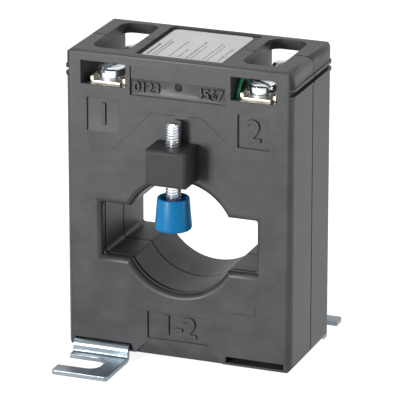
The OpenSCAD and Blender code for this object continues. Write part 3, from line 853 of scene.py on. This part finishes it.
@dataclass
class BarClamp(Assembly):
    """Block, captive nut, threaded screw and pressure cap."""

    pitch: float = 0.7 * MM
    steps_per_turn: int = 24
    thread_depth: float = 0.43 * MM
    block_edge: float = 0.5 * MM
    cap_draw_in: float = 0.6 * MM
    cap_wall: float = 1.1 * MM
    cap_recess: float = 2.2 * MM
    cap_seat: float = 2.4 * MM

    def build(self) -> None:
        """Builds the four pieces."""
        self.refine("clamp_block", "moulding", BLOCK, self.block_edge, 4)
        self.refine("clamp_nut", "zinc", THREAD, 0.1 * MM)
        self.screw()
        self.cap()

    def screw(self) -> None:
        """Builds the screw with its true thread by winding one tooth's outline upwards."""
        low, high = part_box("clamp_screw")
        crest = (high.x - low.x) / 2
        root = crest - self.thread_depth
        centre = Vector(((low.x + high.x) / 2, (low.y + high.y) / 2, low.z - self.pitch))
        outline = ((root, 0.0), (root, 0.12), (crest, 0.44), (crest, 0.56), (root, 0.88), (root, 1.0))
        shape = bmesh.new()
        points = [shape.verts.new(centre + Vector((r, 0.0, share * self.pitch))) for r, share in outline]
        edges = [shape.edges.new(pair) for pair in zip(points, points[1:])]
        turns = math.ceil((high.z - low.z) / self.pitch) + 2
        bmesh.ops.spin(shape, geom=points + edges, cent=centre, axis=(0.0, 0.0, 1.0),
                       dvec=(0.0, 0.0, self.pitch / self.steps_per_turn), angle=2 * math.pi * turns,
                       steps=self.steps_per_turn * turns, use_duplicate=False)
        bmesh.ops.remove_doubles(shape, verts=shape.verts, dist=0.002 * MM)
        for level, normal in ((low.z, -1.0), (high.z, 1.0)):
            bmesh.ops.bisect_plane(shape, geom=shape.verts[:] + shape.edges[:] + shape.faces[:],
                                   plane_co=(0.0, 0.0, level), plane_no=(0.0, 0.0, normal), clear_outer=True)
            rim = [edge for edge in shape.edges
                   if edge.is_boundary and all(abs(vert.co.z - level) < 0.01 * MM for vert in edge.verts)]
            bmesh.ops.edgeloop_fill(shape, edges=rim)
        bmesh.ops.recalc_face_normals(shape, faces=shape.faces)
        make_piece("clamp_screw_thread", shape, THREAD, "bar_screw", ["clamp_screw"], 50.0)

    def cap(self) -> None:
        """Builds the tapered cap with its rounded rim and open recess."""
        low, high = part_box("clamp_cap")
        centre = Vector(((low.x + high.x) / 2, (low.y + high.y) / 2, low.z))
        tall = high.z - low.z
        foot = (high.x - low.x) / 2
        rim = foot - self.cap_draw_in
        rod_low, rod_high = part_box("clamp_screw")
        hole = (rod_high.x - rod_low.x) / 2 + 0.05 * MM
        inner = rim - self.cap_wall
        outline = [(0.0, 0.0), (foot - 1.0 * MM, 0.0)]
        outline += arc((foot - 0.8 * MM, 0.8 * MM), 0.8 * MM, -80.0, 4.0, 7)
        outline += arc((rim - 0.35 * MM, tall - 0.35 * MM), 0.35 * MM, 4.0, 150.0, 7)
        outline += [(inner, tall - 0.5 * MM), (inner - 0.2 * MM, tall - self.cap_recess + 0.1 * MM)]
        outline += [(hole, tall - self.cap_recess), (hole, self.cap_seat), (0.0, self.cap_seat)]
        shape = turned(outline, centre, 96)
        make_piece("clamp_cap_moulding", shape, CAP, "pressure_cap", ["clamp_cap"], 40.0)


def arc(centre: tuple[float, float], radius: float, start: float, stop: float,
        count: int) -> list[tuple[float, float]]:
    """Gives points along an arc.

    Args:
        centre: middle of the arc.
        radius: its radius.
        start: first angle in degrees.
        stop: last angle in degrees.
        count: number of points.

    Returns:
        The points in order.
    """
    angles = [math.radians(start + (stop - start) * step / (count - 1)) for step in range(count)]
    return [(centre[0] + radius * math.cos(angle), centre[1] + radius * math.sin(angle)) for angle in angles]


def turned(outline: Iterable[tuple[float, float]], centre: Vector, steps: int) -> bmesh.types.BMesh:
    """Turns an outline of radii and heights round an upright axis.

    Args:
        outline: radius and height of each point, from the axis and back to it.
        centre: foot of the axis.
        steps: number of steps in the full turn.

    Returns:
        The closed shape.
    """
    shape = bmesh.new()
    points = [shape.verts.new(centre + Vector((radius, 0.0, height))) for radius, height in outline]
    edges = [shape.edges.new(pair) for pair in zip(points, points[1:])]
    bmesh.ops.spin(shape, geom=points + edges, cent=centre, axis=(0.0, 0.0, 1.0), angle=2 * math.pi,
                   steps=steps, use_merge=True, use_duplicate=False)
    bmesh.ops.remove_doubles(shape, verts=shape.verts, dist=0.002 * MM)
    bmesh.ops.recalc_face_normals(shape, faces=shape.faces)
    return shape


@dataclass
class Terminal(Assembly):
    """One brass bar with a screw, a lock washer and a clamping plate at each end."""

    side: str = "left"
    plate_edge: float = 0.3 * MM
    ear_share: float = 0.55

    def build(self) -> None:
        """Builds the bar and the hardware at both ends."""
        self.refine(f"terminal_bar_{self.side}", "brass", BRASS, 0.15 * MM)
        for end in ("front", "rear"):
            spot = f"{self.side}_{end}"
            self.plate(f"clamp_plate_{spot}")
            self.refine(f"lock_washer_{spot}", "zinc", WASHER, 0.08 * MM)
            self.refine(f"terminal_screw_{spot}", "zinc", SCREW, 0.12 * MM)

    def plate(self, node: str) -> None:
        """Builds a clamping plate with its ears bent less high and its edges rounded.

        Args:
            node: the frame node.
        """
        piece = self.refine(node, "nickel", PLATE, self.plate_edge, 3)
        corners = piece.data.vertices
        levels = sorted({round(corner.co.z, 6) for corner in corners})
        top = levels[-1]
        deck = next(level for level in reversed(levels) if level < top - 0.2 * MM)
        for corner in corners:
            if corner.co.z > deck + 0.02 * MM:
                corner.co.z = deck + (corner.co.z - deck) * self.ear_share


@dataclass
class Feet(Assembly):
    """Two bent sheet-metal feet."""

    edge: float = 0.16 * MM

    def build(self) -> None:
        """Builds both feet."""
        for end in ("front", "rear"):
            self.refine(f"mounting_foot_{end}", "sheet", SHEET, self.edge, 3)


@dataclass
class Coil(Assembly):
    """Core, insulation, winding and tape inside the housing, and the two leads."""

    layers: dict[str, tuple[str, Finish]] = field(default_factory=lambda: {
        "ring_core": ("strip", STRIP),
        "core_insulation": ("film", INSULATION),
        "secondary_winding": ("wire", COPPER),
        "winding_tape": ("wrap", TAPE),
        "lead_left": ("sleeve", SLEEVE),
        "lead_right": ("sleeve", SLEEVE),
    })

    def build(self) -> None:
        """Builds every layer of the coil."""
        for node, (word, finish) in self.layers.items():
            self.refine(node, word, finish)


# --------------------------------------------------------------------------- studio


@dataclass(frozen=True)
class Lamp:
    """One soft area lamp that looks at the object.

    Attributes:
        name: name of the lamp.
        azimuth: direction in degrees, 0 in front of the object and 90 on its right.
        elevation: height in degrees.
        distance: distance from the object's middle, in metres.
        size: width and height of the lamp, in metres.
        power: power in watts.
        colour: colour of the light.
    """

    name: str
    azimuth: float
    elevation: float
    distance: float
    size: tuple[float, float]
    power: float
    colour: Colour = (1.0, 1.0, 1.0)

    def place(self, target: Vector) -> None:
        """Hangs the lamp round a target.

        Args:
            target: point that the lamp looks at.
        """
        data = bpy.data.lights.new(self.name, "AREA")
        data.shape = "RECTANGLE"
        data.size, data.size_y = self.size
        data.energy = self.power
        data.color = self.colour
        lamp = bpy.data.objects.new(self.name, data)
        bpy.context.scene.collection.objects.link(lamp)
        back = direction(self.azimuth, self.elevation)
        lamp.location = target + back * self.distance
        lamp.rotation_mode = "QUATERNION"
        lamp.rotation_quaternion = (-back).to_track_quat("-Z", "Y")


def direction(azimuth: float, elevation: float) -> Vector:
    """Gives the unit vector from the object towards a place round it.

    Args:
        azimuth: degrees, 0 in front and 90 on the right.
        elevation: degrees above the horizon.

    Returns:
        The unit vector.
    """
    turn, rise = math.radians(azimuth), math.radians(elevation)
    return Vector((math.sin(turn) * math.cos(rise), -math.cos(turn) * math.cos(rise), math.sin(rise)))


@dataclass
class Studio:
    """Camera, lamps, pale floor and surroundings."""

    azimuth: float = 21.12
    elevation: float = 18.955
    distance: float = 0.930665
    lens: float = 332.63
    target: Vector = field(default_factory=lambda: Vector((0.07 * MM, 0.24 * MM, 39.64 * MM)))
    ambient: float = 0.3
    lamps: tuple[Lamp, ...] = (
        Lamp("key_lamp", -22.0, 6.0, 0.75, (0.16, 0.26), 6.5),
        Lamp("side_lamp", 100.0, 8.0, 0.75, (0.2, 0.3), 3.4),
        Lamp("top_lamp", -120.0, 70.0, 0.8, (0.3, 0.3), 1.6),
    )

    def build(self) -> None:
        """Builds the whole studio."""
        self.camera()
        for lamp in self.lamps:
            lamp.place(self.target)
        self.surroundings()
        self.floor()
        bpy.context.scene.view_settings.view_transform = "Standard"

    def camera(self) -> None:
        """Builds the camera at its viewing angle."""
        data = bpy.data.cameras.new("camera")
        data.lens = self.lens
        data.sensor_width = 36.0
        data.clip_start, data.clip_end = 0.05, 20.0
        made = bpy.data.objects.new("camera", data)
        bpy.context.scene.collection.objects.link(made)
        back = direction(self.azimuth, self.elevation)
        made.location = self.target + back * self.distance
        made.rotation_mode = "QUATERNION"
        made.rotation_quaternion = (-back).to_track_quat("-Z", "Y")
        bpy.context.scene.camera = made

    @staticmethod
    def shown(graph: Graph) -> Socket:
        """Gives 1 for rays that show the background, from the camera or by way of metal or glass.

        Args:
            graph: the material's or world's graph.

        Returns:
            The mask.
        """
        path = graph.node("ShaderNodeLightPath")
        direct = graph.math("MAXIMUM", path.outputs["Is Camera Ray"], path.outputs["Is Glossy Ray"])
        return graph.math("MAXIMUM", direct, path.outputs["Is Transmission Ray"])

    def surroundings(self) -> None:
        """Builds a world that is white to look at and dim as a light."""
        world = bpy.data.worlds.new("studio_world")
        bpy.context.scene.world = world
        world.use_nodes = True
        world.node_tree.nodes.clear()
        graph = Graph(world.node_tree)
        seen = self.shown(graph)
        soft = graph.node("ShaderNodeBackground")
        soft.inputs["Strength"].default_value = self.ambient
        white = graph.node("ShaderNodeBackground")
        mixed = graph.node("ShaderNodeMixShader")
        graph.feed(mixed.inputs[0], seen)
        graph.feed(mixed.inputs[1], soft.outputs[0])
        graph.feed(mixed.inputs[2], white.outputs[0])
        graph.feed(graph.node("ShaderNodeOutputWorld").inputs[0], mixed.outputs[0])
        for shader in (soft, white):
            graph.feed(shader.inputs["Color"], (1.0, 1.0, 1.0))

    def floor(self) -> None:
        """Builds a pale floor that is white to look at and keeps a soft shadow."""
        shape = bmesh.new()
        bmesh.ops.create_grid(shape, x_segments=1, y_segments=1, size=3.0)
        data = bpy.data.meshes.new("studio_floor")
        shape.to_mesh(data)
        shape.free()
        floor = bpy.data.objects.new("studio_floor", data)
        bpy.context.scene.collection.objects.link(floor)
        material = bpy.data.materials.new("studio_floor_white")
        material.use_nodes = True
        material.node_tree.nodes.clear()
        graph = Graph(material.node_tree)
        lit = graph.node("ShaderNodeBsdfDiffuse")
        graph.feed(lit.inputs["Color"], (0.5, 0.5, 0.5))
        glow = graph.node("ShaderNodeEmission")
        glow.inputs["Strength"].default_value = 0.9
        seen = graph.node("ShaderNodeAddShader")
        graph.feed(seen.inputs[0], lit.outputs[0])
        graph.feed(seen.inputs[1], glow.outputs[0])
        plain = graph.node("ShaderNodeBsdfDiffuse")
        graph.feed(plain.inputs["Color"], (0.35, 0.35, 0.35))
        mixed = graph.node("ShaderNodeMixShader")
        graph.feed(mixed.inputs[0], self.shown(graph))
        graph.feed(mixed.inputs[1], plain.outputs[0])
        graph.feed(mixed.inputs[2], seen.outputs[0])
        graph.feed(graph.node("ShaderNodeOutputMaterial").inputs["Surface"], mixed.outputs[0])
        data.materials.append(material)


def main() -> None:
    """Loads the frame, builds the studio and every sub-assembly in order."""
    logging.basicConfig(level=logging.INFO, format="%(message)s")
    for leftover in list(bpy.data.objects):
        bpy.data.objects.remove(leftover)
    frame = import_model()
    Studio().build()
    assemblies = [Housing(frame), RatingLabel(frame), BarClamp(frame), Terminal(frame, "left"),
                  Terminal(frame, "right"), Feet(frame), Coil(frame)]
    for assembly in assemblies:
        log.info("building %s", type(assembly).__name__)
        assembly.build()


if __name__ == "__main__":
    main()
